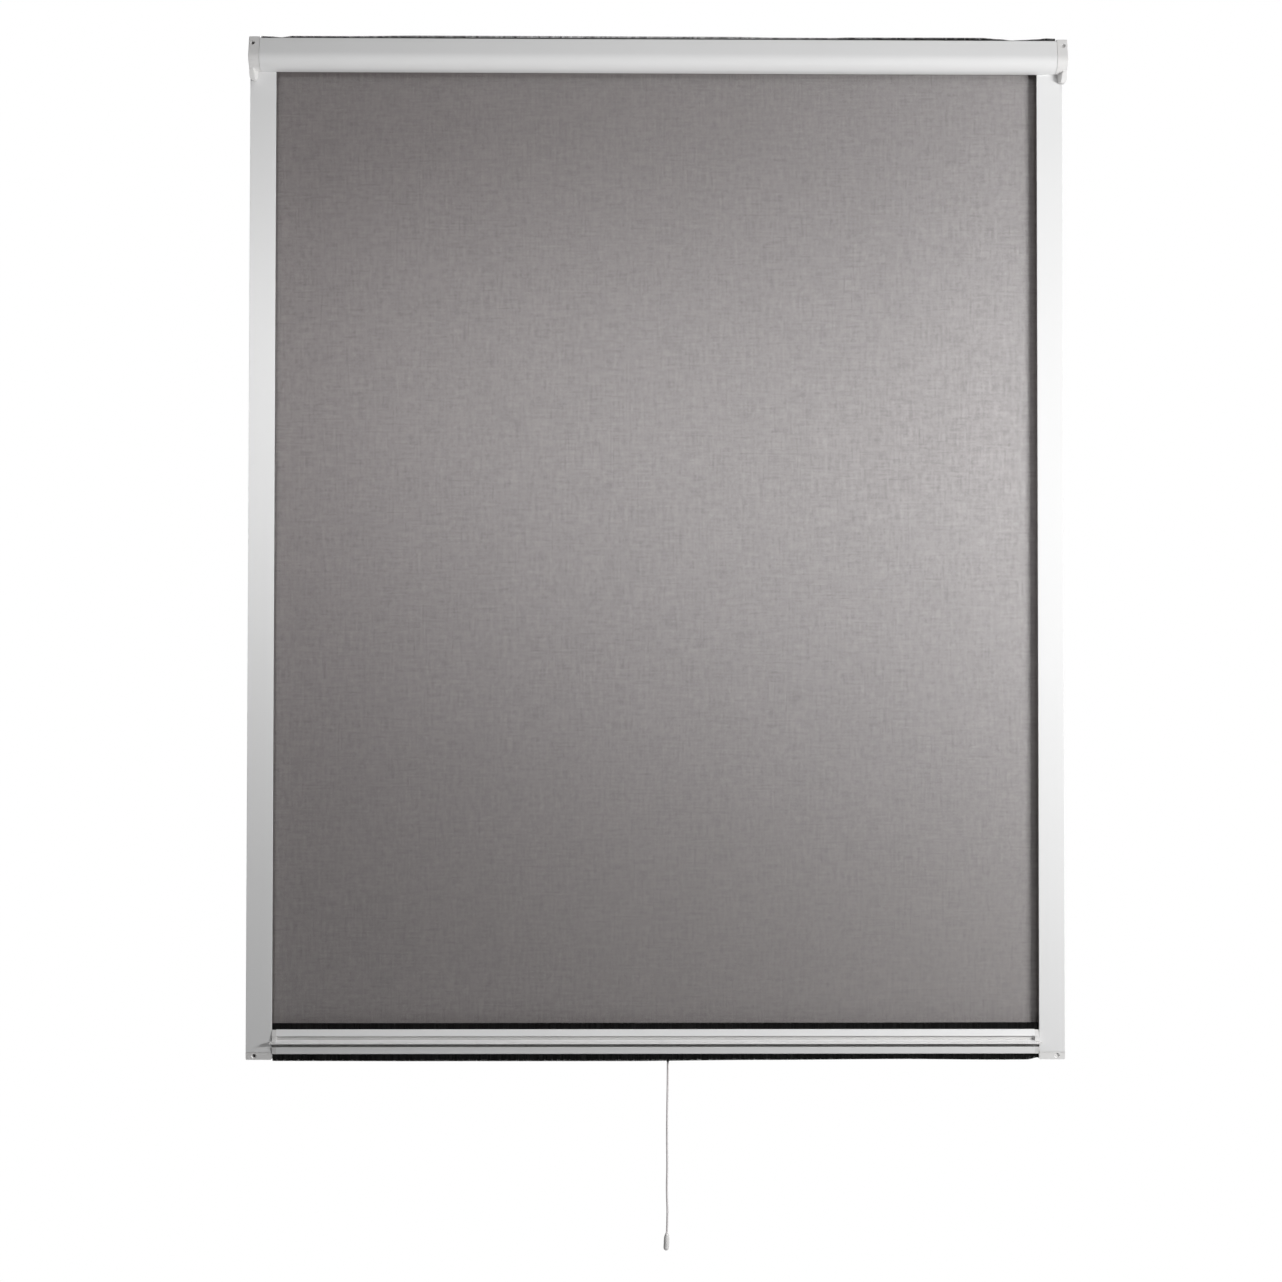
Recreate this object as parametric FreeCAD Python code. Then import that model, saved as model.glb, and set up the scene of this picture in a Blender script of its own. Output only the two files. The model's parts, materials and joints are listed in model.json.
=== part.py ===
"""Roll-up insect screen for a window, pulled down in its frame.

A head box with plastic end caps holds a sprung roller. The mesh hangs from
the roller between two side guides, which end in plastic feet, and its lower
hem is held by a pull bar with a cord.

Millimetres. +X is to the right seen from the front, +Z is up, and the front
faces -Y. The flat backs lie in the plane y = 0, and the origin is the centre
of the head box's back face. In the sections, depth is the distance forward
from that plane, so y = -depth.
"""
import FreeCAD, Part
import math
import os

from FreeCAD import Vector

# Overall sizes
overall_width = 1200.0
overall_height = 1500.0
eps = 0.01

# Head box, an extruded section; it sits a little to the right of the guides' middle
box_height = 46.0
box_shift = 2.5
box_top_depth = 40.0
box_lean_depth = 51.5
box_belly_radius = 18.0
box_edge_radius = 1.5
box_wall = 1.5
mouth_back_depth = 6.0
mouth_front_depth = 24.0

# End caps
cap_thickness = 16.0
cap_overhang = 1.8
cap_top_rise = 2.0
cap_fit = 0.15
cap_spigot_length = 9.0
cap_spigot_wall = 1.6
cap_edge_bevel = 0.8
cap_hole_from_edge = 6.2
cap_hole_from_top = 10.1
cap_tongue_length = 28.0
lug_front_width = 6.5
lug_base_width = 11.0
lug_drop = 14.5
lug_rise = 10.5
lug_depth = 38.0
lug_foot_depth = 33.0
lug_corner = 5.0
lug_gap = 0.3
boss_radius = 8.0
boss_gap = 1.0

# Fixing holes, for countersunk screws
hole_radius = 2.4
cap_sink_radius = 3.0
foot_sink_radius = 3.8

# Narrow joint that shows where a moulded piece meets a section
seam_gap = 0.7
seam_inset = 1.0

# Side guides, extruded sections
guide_width = 38.0
guide_depth = 24.0
guide_wall = 1.4
guide_edge_radius = 0.6
guide_chamber_width = 11.6
guide_lip_reach = 1.6

# Feet under the guides
foot_height = 11.0
foot_plug_length = 20.0
foot_corner = 2.0
foot_hole_from_edge = 12.0
foot_hole_height = 5.5

# Pile strips: a flat backing with a row of bristles on it
pile_base_width = 4.8
pile_base_thick = 0.8
pile_width = 2.8
groove_width = 5.2
groove_depth = 1.4
groove_lip = 1.0
groove_opening = 3.2
groove_roof = 1.2
pile_end_gap = 1.0
top_pile_depth = 34.5
top_pile_rise = 6.3

# Mesh
mesh_thick = 0.4
mesh_depth = 12.0
mesh_tuck = 12.0
mesh_roll_turns = 2
pile_gap = 1.3

# Roller in the head box
axis_height = 0.0
tube_radius = 12.0
tube_wall = 1.0
roll_fit = 0.05
spline_radius = 1.5
spline_fit = 0.1
spline_wall = 0.8
spline_slot = 1.2
plug_length = 22.0
plug_flange = 2.0
plug_fit = 0.05
running_fit = 0.05
stub_radius = 4.0
stub_length = 17.0
axle_radius = 3.0
axle_length = 430.0
axle_margin = 12.0
axle_square = 4.2
axle_square_length = 17.0
spring_radius = 7.0
spring_bore = 3.6
anchor_side = 9.2
anchor_length = 20.0

# Pull bar, an extruded section
bar_height = 35.9
bar_from_foot = 8.1
bar_back_depth = 4.0
bar_front_depth = 26.0
bar_crown_depth = 23.6
bar_foot_depth = 24.4
bar_foot_radius = 2.0
bar_web_depth = 21.0
bar_notch_depth = 17.0
bar_wall = 1.4
ledge_depth = 34.0
band_bottom_height = 26.2
slope_top_height = 20.5
ledge_top_height = 17.9
ledge_thick = 1.8
notch_bottom_height = 10.3
upper_pile_depth = 20.2
upper_pile_rise = 9.6
lower_pile_depth = 20.0
lower_pile_drop = 11.0
bar_edge_radius = 0.5

# End plugs of the pull bar
plug_plate = 6.0
plug_side_gap = 0.6
plug_top_drop = 0.4
plug_corner = 1.6
plug_peg_length = 12.0
nub_reach = 3.0
nub_gap = 1.6
nub_half_height = 1.5
shoe_neck = 2.0
shoe_length = 22.0
shoe_lift = 8.0
shoe_depth = 12.0
shoe_width = 9.0
shoe_lip_gap = 1.0

# Pull cord
cord_diameter = 3.0
cord_x = 17.5
cord_depth = 8.3
gland_radius = 2.2
gland_stem = 8.0
gland_taper = 3.5
gland_tail = 14.0
knob_length = 25.0
knob_radius = 4.0
knob_neck_radius = 2.3
knob_shoulder = 6.0
knob_foot_length = 3.2
knob_foot_radius = 2.4

# Levels and places that follow from the sizes above
half_width = overall_width / 2
box_top = box_height / 2
box_bottom = -box_height / 2
cap_top = box_top + cap_top_rise
foot_bottom = cap_top - overall_height
foot_top = foot_bottom + foot_height
cap_outer_left = half_width + cap_overhang - box_shift
cap_outer_right = half_width + cap_overhang + box_shift
box_end_left = cap_outer_left - cap_thickness
box_end_right = cap_outer_right - cap_thickness
guide_inner = half_width - guide_width
mesh_half_width = guide_inner + mesh_tuck
slot_wall_x = guide_inner + guide_lip_reach + groove_width + 2 * groove_roof
roll_radius = tube_radius + roll_fit + mesh_roll_turns * mesh_thick
axis_depth = mesh_depth + mesh_thick / 2 + roll_fit + roll_radius
bar_bottom = foot_bottom + bar_from_foot
bar_top = bar_bottom + bar_height
plug_outer = guide_inner - plug_side_gap
bar_end = plug_outer - plug_plate
chamber_back = guide_wall
chamber_front = guide_depth - guide_wall
groove_total = groove_lip + groove_depth + groove_roof
pile_block = groove_width + 2 * groove_roof
spline_centre_radius = tube_radius - spline_radius - spline_fit - spline_wall / 2
bar_spline_height = bar_height - groove_roof - spline_radius - spline_fit
cord_exit_height = bar_bottom - gland_tail

# Route of the pull cord below its exit: sideways, forward and downward steps
cord_route = [
    (0.0, 0.0, 0.0),
    (0.0, 0.0, -19.0),
    (-1.3, -0.3, -104.0),
    (-0.5, 0.3, -150.0),
    (-1.5, 0.0, -190.0),
    (0.1, -0.2, -223.0),
    (-1.2, 0.1, -251.3),
]


def across(x):
    """Section plane at x: takes depth and height."""
    return lambda depth, height: Vector(x, -depth, height)


def level(z):
    """Section plane at height z: takes x and depth."""
    return lambda x, depth: Vector(x, -depth, z)


def facing(depth):
    """Section plane at a depth: takes x and height."""
    return lambda x, height: Vector(x, -depth, height)


def outline(corners, place):
    """Closed face through (a, b, radius) corners, each rounded by its radius."""
    entries = []
    for index, (a, b, radius) in enumerate(corners):
        corner = Vector(a, b, 0)
        before = Vector(*corners[index - 1][:2], 0) - corner
        after = Vector(*corners[(index + 1) % len(corners)][:2], 0) - corner
        before.normalize()
        after.normalize()
        if radius == 0:
            entries.append((corner, corner, corner))
            continue
        half_angle = before.getAngle(after) / 2
        reach = radius / math.tan(half_angle)
        middle = (before + after).normalize()
        centre_distance = radius / math.sin(half_angle)
        top = corner + middle * (centre_distance - radius)
        entries.append((corner + before * reach, top, corner + after * reach))
    edges = []
    for index, (start, top, end) in enumerate(entries):
        previous_end = entries[index - 1][2]
        if (start - previous_end).Length > eps:
            edges.append(Part.makeLine(place(*previous_end[:2]), place(*start[:2])))
        if (end - start).Length > eps:
            points = [place(*point[:2]) for point in (start, top, end)]
            edges.append(Part.Arc(*points).toShape())
    return Part.Face(Part.Wire(edges))


def along_x(corners, low, high):
    return outline(corners, across(low)).extrude(Vector(high - low, 0, 0))


def along_z(corners, low, high):
    return outline(corners, level(low)).extrude(Vector(0, 0, high - low))


def along_y(corners, back, front):
    return outline(corners, facing(back)).extrude(Vector(0, back - front, 0))


def rectangle(a_low, a_high, b_low, b_high, radius=0.0):
    return [
        (a_low, b_low, radius),
        (a_high, b_low, radius),
        (a_high, b_high, radius),
        (a_low, b_high, radius),
    ]


def block(x_low, x_high, depth_low, depth_high, z_low, z_high):
    """Box between two limits in x, in depth and in height."""
    size = (x_high - x_low, depth_high - depth_low, z_high - z_low)
    return Part.makeBox(*size, Vector(x_low, -depth_high, z_low))


def rod_x(radius, low, high, depth=axis_depth, height=axis_height):
    return Part.makeCylinder(radius, high - low, Vector(low, -depth, height), Vector(1, 0, 0))


def mirrored(shape):
    """The same piece for the right-hand side."""
    return shape.mirror(Vector(0, 0, 0), Vector(1, 0, 0))


def groove_cut(centre, mouth, inward):
    """Rectangles of a T-groove: the opening between its lips, and the wide slot."""
    lip_end = mouth + inward * groove_lip
    slot_end = lip_end + inward * groove_depth
    opening = (centre - groove_opening / 2, centre + groove_opening / 2, mouth - inward, lip_end)
    slot = (centre - groove_width / 2, centre + groove_width / 2, lip_end, slot_end)
    return opening, slot


def pile_strip(centre, mouth, inward, tip):
    """Rectangles of a pile strip in that groove: its backing, on the lips, and its bristles."""
    seat = mouth + inward * groove_lip
    back = seat + inward * pile_base_thick
    backing = (centre - pile_base_width / 2, centre + pile_base_width / 2, seat, back)
    bristles = (centre - pile_width / 2, centre + pile_width / 2, tip, seat)
    return backing, bristles


def ordered(low, high):
    return min(low, high), max(low, high)


def strips_along_x(pairs, x_low, x_high, turned=False):
    """Solid of several rectangles across x; turned swaps depth and height."""
    solids = []
    for a_low, a_high, b_low, b_high in pairs:
        a_range = ordered(a_low, a_high)
        b_range = ordered(b_low, b_high)
        depths, heights = (b_range, a_range) if turned else (a_range, b_range)
        solids.append(block(x_low, x_high, *depths, *heights))
    return solids[0].fuse(solids[1:])


def strips_along_z(pairs, z_low, z_high):
    solids = []
    for a_low, a_high, b_low, b_high in pairs:
        solids.append(block(*ordered(a_low, a_high), *ordered(b_low, b_high), z_low, z_high))
    return solids[0].fuse(solids[1:])


def box_outline(inset, top_rise=0.0):
    """Outline of the head box, moved inward by inset; the front leans out to a round belly."""
    lean = math.atan2(box_lean_depth - box_top_depth, box_height)
    front_shift = inset / math.cos(lean)
    top = box_top + top_rise - inset
    bottom = box_bottom + inset

    def front(height):
        below_top = box_top - height
        return box_top_depth + below_top * math.tan(lean) - front_shift

    return [
        (inset, bottom, 0.0),
        (front(bottom), bottom, box_belly_radius - inset),
        (front(top), top, box_edge_radius),
        (inset, top, 0.0),
    ]


def cassette_profile():
    low, high = -box_end_left - 1, box_end_right + 1
    shape = along_x(box_outline(0.0), -box_end_left, box_end_right)
    shape = shape.cut(along_x(box_outline(box_wall), low, high))
    top_block = block(
        -box_end_left, box_end_right,
        top_pile_depth - pile_block / 2, top_pile_depth + pile_block / 2,
        box_top - groove_total, box_top - eps,
    )
    lip_height = mouth_pile_height()
    lip_block = block(
        -box_end_left, box_end_right,
        mouth_front_depth, mouth_front_depth + groove_total,
        box_bottom + eps, box_bottom + pile_block,
    )
    shape = shape.fuse([top_block, lip_block])
    mouth = block(
        low, high,
        mouth_back_depth, mouth_front_depth,
        box_bottom - 1, box_bottom + 2 * box_wall,
    )
    top_cut = strips_along_x(groove_cut(top_pile_depth, box_top, -1), low, high)
    lip_cut = strips_along_x(groove_cut(lip_height, mouth_front_depth, 1), low, high, turned=True)
    return shape.cut([mouth, top_cut, lip_cut]).removeSplitter()


def mouth_pile_height():
    """Height of the middle of the pile strip in the front lip of the mouth."""
    return box_bottom + groove_roof + groove_width / 2


def cassette_top_brush():
    strip = pile_strip(top_pile_depth, box_top, -1, box_top + top_pile_rise)
    return strips_along_x(strip, pile_end_gap - box_end_left, box_end_right - pile_end_gap)


def cassette_mouth_brush():
    tip = mesh_depth + mesh_thick / 2 + roll_fit
    strip = pile_strip(mouth_pile_height(), mouth_front_depth, 1, tip)
    return strips_along_x(strip, -mesh_half_width, mesh_half_width, turned=True)


def lug(outer):
    """Ear of the cap in front of the guide: narrower to the front, rounded below."""
    bottom = box_bottom - lug_drop
    top = box_bottom + lug_rise
    back = guide_depth + lug_gap
    side = along_x(
        [
            (back, bottom, 0.0),
            (lug_foot_depth, bottom, lug_corner / 2),
            (lug_depth, box_bottom, lug_corner),
            (lug_depth, top, 0.0),
            (back, top, 0.0),
        ],
        -outer, lug_base_width - outer,
    )
    face = along_y(
        [
            (-outer, bottom, lug_corner),
            (lug_base_width - outer, bottom, lug_corner),
            (lug_base_width - outer, top, 0.0),
            (-outer, top, 0.0),
        ],
        0.0, box_lean_depth,
    )
    taper = along_z(
        [
            (-outer, back, 0.0),
            (lug_base_width - outer, back, 0.0),
            (lug_front_width - outer, lug_depth, lug_corner / 3),
            (-outer, lug_depth, lug_corner / 3),
        ],
        bottom, top,
    )
    return side.common(face).common(taper)


def fixing_hole(x, z, front_depth, sink_radius):
    """Through hole along y with a countersink whose rim lies at front_depth."""
    forward = Vector(0, -1, 0)
    hole = Part.makeCylinder(hole_radius, front_depth + 2, Vector(x, 1, z), forward)
    sink_depth = sink_radius - hole_radius
    start = Vector(x, sink_depth - front_depth, z)
    sink = Part.makeCone(hole_radius, sink_radius, sink_depth, start, forward)
    rim = Part.makeCylinder(sink_radius, box_lean_depth, Vector(x, -front_depth, z), forward)
    return hole.fuse([sink, rim])


def outer_end_edges(body, outer):
    """Edges around the body's outer end face, apart from the one on the flat back."""
    found = []
    for edge in body.Edges:
        places = [vertex.Point for vertex in edge.Vertexes]
        on_end = all(abs(place.x + outer) < eps for place in places)
        on_back = all(abs(place.y) < eps for place in places)
        if on_end and not on_back:
            found.append(edge)
    return found


def cap_body(outer, end):
    """Left-hand cap from its outer face to the end of the head box, without its socket."""
    body = along_x(box_outline(0.0, cap_top_rise), -outer, -end - seam_gap)
    shape = body.makeChamfer(cap_edge_bevel, outer_end_edges(body, outer))
    collar = along_x(box_outline(seam_inset), -end - seam_gap - eps, -end)
    spigot_end = cap_spigot_length - end
    gap = box_wall + cap_fit
    spigot = along_x(box_outline(gap), -end - eps, spigot_end)
    spigot = spigot.cut(along_x(box_outline(gap + cap_spigot_wall), -end - 1, spigot_end + 1))
    groove_room = block(
        -end, spigot_end + 1,
        top_pile_depth - pile_block / 2 - cap_fit, box_lean_depth,
        axis_height, box_top,
    )
    mouth_room = block(
        -end, spigot_end + 1,
        mouth_back_depth - cap_fit, mouth_front_depth + groove_total + cap_fit,
        box_bottom, axis_height,
    )
    spigot = spigot.cut([groove_room, mouth_room])
    boss = rod_x(boss_radius, -end - eps, -mesh_half_width - plug_flange - boss_gap)
    chamber_inner = half_width - guide_wall - guide_chamber_width
    tongue = block(
        -half_width + guide_wall + cap_fit, -max(chamber_inner + cap_fit, end + seam_gap),
        chamber_back + cap_fit, chamber_front - cap_fit,
        box_bottom - cap_tongue_length, box_bottom + eps,
    )
    shape = shape.fuse([collar, spigot, boss, tongue, lug(outer)])
    hole = fixing_hole(
        cap_hole_from_edge - outer, cap_top - cap_hole_from_top, box_top_depth, cap_sink_radius
    )
    return shape.cut(hole).removeSplitter()


def end_cap_left():
    """Left cap, with a square socket for the spring axle."""
    side = axle_square + 2 * running_fit
    outer = axle_outer_end() - boss_gap / 2
    socket = block(
        outer, 1 - mesh_half_width,
        axis_depth - side / 2, axis_depth + side / 2,
        axis_height - side / 2, axis_height + side / 2,
    )
    return cap_body(cap_outer_left, box_end_left).cut(socket)


def end_cap_right():
    """Right cap, with a round socket for the roller's stub."""
    socket = rod_x(
        stub_radius + running_fit, mesh_half_width, mesh_half_width + plug_flange + stub_length + 1
    )
    return mirrored(cap_body(cap_outer_right, box_end_right)).cut(socket)


def guide_left():
    """Left guide: a closed chamber, and a slot whose two facing grooves hold pile strips."""
    outer = -half_width
    shape = along_z(
        rectangle(outer, -guide_inner, 0.0, guide_depth, guide_edge_radius), foot_top, box_bottom
    )
    web = outer + guide_wall + guide_chamber_width
    low, high = foot_top - 1, box_bottom + 1
    chamber = along_z(rectangle(outer + guide_wall, web, chamber_back, chamber_front), low, high)
    slot = block(web + guide_wall, -slot_wall_x, chamber_back, chamber_front, low, high)
    lips = guide_lip_depths()
    opening = block(-slot_wall_x - 1, 1 - guide_inner, lips[0], lips[1], low, high)
    reach = block(
        -guide_inner - guide_lip_reach, 1 - guide_inner, chamber_back, chamber_front, low, high
    )
    cuts = [chamber, slot, opening, reach]
    for mouth, inward in zip(lips, (-1, 1)):
        cuts.append(strips_along_z(groove_cut(guide_pile_x(), mouth, inward), low, high))
    return shape.cut(cuts).removeSplitter()


def guide_lip_depths():
    """Depths of the back and the front lip of the slot."""
    block_depth = guide_wall + groove_lip + groove_depth
    return block_depth, guide_depth - block_depth


def guide_pile_x():
    return groove_roof + groove_width / 2 - slot_wall_x


def guide_brush_left(side):
    """Pile strip of the left guide: side 0 is behind the mesh, side 1 in front."""
    inward = (-1, 1)[side]
    strip = pile_strip(
        guide_pile_x(), guide_lip_depths()[side], inward, mesh_depth + inward * pile_gap
    )
    return strips_along_z(strip, foot_top, box_bottom - pile_end_gap / 2)


def foot_left():
    """Foot with a rounded lower edge and a plug that fills the guide's chamber."""
    shape = along_y(
        [
            (-half_width, foot_bottom, foot_corner),
            (-guide_inner, foot_bottom, foot_corner),
            (-guide_inner, foot_top - seam_gap, 0.0),
            (-half_width, foot_top - seam_gap, 0.0),
        ],
        0.0, guide_depth,
    )
    collar = block(
        -half_width + seam_inset, -guide_inner - seam_inset,
        seam_inset, guide_depth - seam_inset,
        foot_top - seam_gap - eps, foot_top,
    )
    plug = block(
        -half_width + guide_wall + cap_fit,
        -half_width + guide_wall + guide_chamber_width - cap_fit,
        chamber_back + cap_fit, chamber_front - cap_fit,
        foot_top - eps, foot_top + foot_plug_length,
    )
    hole = fixing_hole(
        -half_width + foot_hole_from_edge, foot_bottom + foot_hole_height,
        guide_depth, foot_sink_radius,
    )
    return shape.fuse([collar, plug]).cut(hole).removeSplitter()


def mesh_bottom():
    return bar_bottom + bar_spline_height + spline_radius + roll_fit


def mesh_screen():
    """Hanging mesh, from the roll's rear tangent down to the spline in the pull bar."""
    return block(
        -mesh_half_width, mesh_half_width,
        mesh_depth - mesh_thick / 2, mesh_depth + mesh_thick / 2,
        mesh_bottom(), axis_height,
    )


def mesh_roll():
    end = mesh_half_width
    roll = rod_x(roll_radius, -end, end)
    return roll.cut(rod_x(tube_radius + roll_fit, -end - 1, end + 1))


def spline_pocket(radius, low, high):
    return rod_x(radius, low, high, height=axis_height + spline_centre_radius)


def roller_tube():
    """Tube with a round pocket inside its wall for the mesh's spline."""
    end = mesh_half_width
    shape = rod_x(tube_radius, -end, end)
    shape = shape.cut(rod_x(tube_radius - tube_wall, -end - 1, end + 1))
    pocket_radius = spline_radius + spline_fit + spline_wall
    pocket = spline_pocket(pocket_radius, -end, end).common(rod_x(tube_radius, -end, end))
    shape = shape.fuse(pocket)
    bore = spline_pocket(spline_radius + spline_fit, -end - 1, end + 1)
    slot = block(
        -end - 1, end + 1,
        axis_depth - spline_slot / 2, axis_depth + spline_slot / 2,
        axis_height + spline_centre_radius, axis_height + tube_radius + 1,
    )
    return shape.cut([bore, slot]).removeSplitter()


def roller_spline():
    return spline_pocket(spline_radius, -mesh_half_width, mesh_half_width)


def tube_plug():
    """Plug in the tube's left end: a flange outside it and a body inside."""
    end = -mesh_half_width
    flange = rod_x(tube_radius, end - plug_flange, end)
    body = rod_x(tube_radius - tube_wall - plug_fit, end - eps, end + plug_length)
    notch_radius = spline_radius + spline_fit + spline_wall + plug_fit
    body = body.cut(spline_pocket(notch_radius, end, end + plug_length + 1))
    return flange.fuse(body).removeSplitter()


def tube_plug_left():
    bore = rod_x(
        axle_radius + running_fit, -mesh_half_width - plug_flange - 1, plug_length - mesh_half_width + 1
    )
    return tube_plug().cut(bore)


def tube_plug_right():
    start = mesh_half_width + plug_flange
    stub = rod_x(stub_radius, start - eps, start + stub_length)
    return mirrored(tube_plug()).fuse(stub).removeSplitter()


def axle_outer_end():
    return -mesh_half_width - plug_flange - boss_gap / 2 - axle_square_length


def spring_axle():
    """Steel axle: its square end sits in the left cap, its round part carries the roller."""
    square_start = axle_outer_end()
    square_end = square_start + axle_square_length
    half = axle_square / 2
    square = along_x(
        rectangle(axis_depth - half, axis_depth + half, axis_height - half, axis_height + half),
        square_start, square_end,
    )
    rod = rod_x(axle_radius, square_end - eps, square_start + axle_length)
    return square.fuse(rod).removeSplitter()


def spring_start():
    return plug_length - mesh_half_width + roll_fit


def anchor_start():
    return axle_outer_end() + axle_length - axle_margin - anchor_length


def torsion_spring():
    """Closely wound spring between plug and anchor, its turns touching, so it is one sleeve."""
    start = spring_start()
    end = anchor_start()
    return rod_x(spring_radius, start, end).cut(rod_x(spring_bore, start - 1, end + 1))


def spring_anchor():
    """Square anchor fixed near the axle's inner end, which holds the spring's end."""
    start = anchor_start()
    end = start + anchor_length
    half = anchor_side / 2
    section = rectangle(axis_depth - half, axis_depth + half, axis_height - half, axis_height + half)
    return along_x(section, start, end).cut(rod_x(axle_radius, start - 1, end + 1))


def bar_corners():
    """Section of the pull bar: upper band, recess, sloping finger ledge, notch, lower band."""
    soft = bar_edge_radius
    corners = [
        (bar_back_depth, 0.0, soft),
        (bar_foot_depth, 0.0, bar_foot_radius),
        (bar_front_depth, notch_bottom_height, soft),
        (bar_notch_depth, notch_bottom_height, 0.0),
        (bar_notch_depth, ledge_top_height - ledge_thick, 0.0),
        (ledge_depth, ledge_top_height - ledge_thick, soft),
        (ledge_depth, ledge_top_height, soft),
        (bar_web_depth, slope_top_height, soft),
        (bar_web_depth, band_bottom_height, soft),
        (bar_front_depth, band_bottom_height, soft),
        (bar_crown_depth, bar_height, soft),
        (bar_back_depth, bar_height, soft),
    ]
    return [(depth, bar_bottom + height, radius) for depth, height, radius in corners]


def bar_chambers():
    """Depth and height limits of the bar's hollow chambers; the upper two join."""
    inner_back = bar_back_depth + bar_wall
    lower = (inner_back, bar_foot_depth - bar_wall, groove_total, notch_bottom_height - bar_wall)
    spline_room = 2 * (spline_radius + spline_fit) + 2 * groove_roof
    middle = (inner_back, bar_notch_depth - bar_wall, notch_bottom_height, ledge_top_height + bar_wall)
    upper = (inner_back, bar_web_depth - bar_wall, ledge_top_height, bar_height - spline_room)
    return lower, middle, upper


def bottom_bar_profile():
    shape = along_x(bar_corners(), -bar_end, bar_end)
    low, high = -bar_end - 1, bar_end + 1
    cuts = []
    for back, front, bottom, top in bar_chambers():
        cuts.append(block(low, high, back, front, bar_bottom + bottom, bar_bottom + top))
    cuts.append(strips_along_x(groove_cut(upper_pile_depth, bar_top, -1), low, high))
    cuts.append(strips_along_x(groove_cut(lower_pile_depth, bar_bottom, 1), low, high))
    spline_z = bar_bottom + bar_spline_height
    bore_radius = spline_radius + spline_fit
    cuts.append(rod_x(bore_radius, low, high, mesh_depth, spline_z))
    slot = block(
        low, high, mesh_depth - spline_slot / 2, mesh_depth + spline_slot / 2, spline_z, bar_top + 1
    )
    cuts.append(slot)
    hole_start = Vector(cord_x, -cord_depth, bar_bottom - 1)
    cuts.append(Part.makeCylinder(gland_radius + roll_fit, groove_total + 2, hole_start))
    return shape.cut(cuts).removeSplitter()


def bar_spline():
    return rod_x(spline_radius, -bar_end, bar_end, mesh_depth, bar_bottom + bar_spline_height)


def bar_brush_upper():
    strip = pile_strip(upper_pile_depth, bar_top, -1, bar_top + upper_pile_rise)
    return strips_along_x(strip, -plug_outer, plug_outer)


def bar_brush_lower():
    strip = pile_strip(lower_pile_depth, bar_bottom, 1, bar_bottom - lower_pile_drop)
    return strips_along_x(strip, -plug_outer, plug_outer)


def plug_slots():
    """Open slots in the plug's plate, through which pile strips and mesh run out to the guides."""
    pile_half = pile_base_width / 2 + cap_fit
    pile_height = groove_lip + pile_base_thick + cap_fit
    limits = [
        (upper_pile_depth, pile_half, bar_top - pile_height, bar_top + 1),
        (lower_pile_depth, pile_half, bar_bottom - 1, bar_bottom + pile_height),
        (mesh_depth, spline_slot / 2, mesh_bottom() - roll_fit, bar_top + 1),
    ]
    slots = []
    for depth, half, low, high in limits:
        slots.append(block(-plug_outer - 1, -bar_end, depth - half, depth + half, low, high))
    return slots


def slope_height(depth):
    """Height of the sloping ledge above the bar's bottom, at a depth."""
    share = (ledge_depth - depth) / (ledge_depth - bar_web_depth)
    return ledge_top_height + share * (slope_top_height - ledge_top_height)


def bar_end_plug_left():
    """Plate over the bar's end, pegs into its chambers, a nub and a shoe that runs in the guide."""
    plate = along_x(
        [
            (bar_back_depth, bar_bottom, plug_corner),
            (bar_foot_depth, bar_bottom, plug_corner),
            (bar_front_depth, bar_bottom + notch_bottom_height, bar_edge_radius),
            (bar_notch_depth, bar_bottom + notch_bottom_height, 0.0),
            (bar_notch_depth, bar_bottom + ledge_top_height - ledge_thick, 0.0),
            (ledge_depth, bar_bottom + ledge_top_height - ledge_thick, bar_edge_radius),
            (ledge_depth, bar_bottom + ledge_top_height, bar_edge_radius),
            (bar_front_depth, bar_bottom + slope_height(bar_front_depth), 0.0),
            (bar_front_depth, bar_bottom + band_bottom_height, 0.0),
            (bar_crown_depth, bar_top - plug_top_drop, plug_corner),
            (bar_back_depth, bar_top - plug_top_drop, plug_corner),
        ],
        -plug_outer, -bar_end,
    ).cut(plug_slots())
    pieces = []
    for back, front, bottom, top in bar_chambers():
        pieces.append(
            block(
                -bar_end - eps, plug_peg_length - bar_end,
                back + cap_fit, front - cap_fit,
                bar_bottom + bottom + cap_fit, bar_bottom + top - cap_fit,
            )
        )
    nub = along_y(
        rectangle(
            -plug_outer - nub_reach, -bar_end,
            bar_bottom + ledge_top_height - ledge_thick / 2 - nub_half_height,
            bar_bottom + ledge_top_height - ledge_thick / 2 + nub_half_height,
            bar_edge_radius,
        ),
        guide_depth + nub_gap, ledge_depth - bar_edge_radius,
    )
    shoe_bottom = bar_bottom + shoe_lift
    shoe_inner = -slot_wall_x - shoe_lip_gap
    neck = block(
        shoe_inner, -plug_outer + eps,
        mesh_depth - shoe_neck / 2, mesh_depth + shoe_neck / 2,
        shoe_bottom, shoe_bottom + shoe_length,
    )
    shoe = along_z(
        rectangle(
            shoe_inner - shoe_width, shoe_inner + eps,
            mesh_depth - shoe_depth / 2, mesh_depth + shoe_depth / 2, 1.0,
        ),
        shoe_bottom, shoe_bottom + shoe_length,
    )
    return plate.fuse(pieces + [nub, neck, shoe]).removeSplitter()


def rod_down(radius, x, depth, top, length):
    return Part.makeCylinder(radius, length, Vector(x, -depth, top - length))


def cord_gland():
    """Grommet in the bar's floor with a tapered tail that the cord leaves."""
    straight = gland_stem + gland_tail - gland_taper
    stem = rod_down(gland_radius, cord_x, cord_depth, bar_bottom + gland_stem, straight)
    tip = Vector(cord_x, -cord_depth, cord_exit_height)
    taper = Part.makeCone(cord_diameter / 2, gland_radius, gland_taper, tip)
    return stem.fuse(taper).removeSplitter()


def cord_points():
    points = []
    for side, forward, drop in cord_route:
        points.append(Vector(cord_x + side, -cord_depth - forward, cord_exit_height + drop))
    return points


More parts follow.
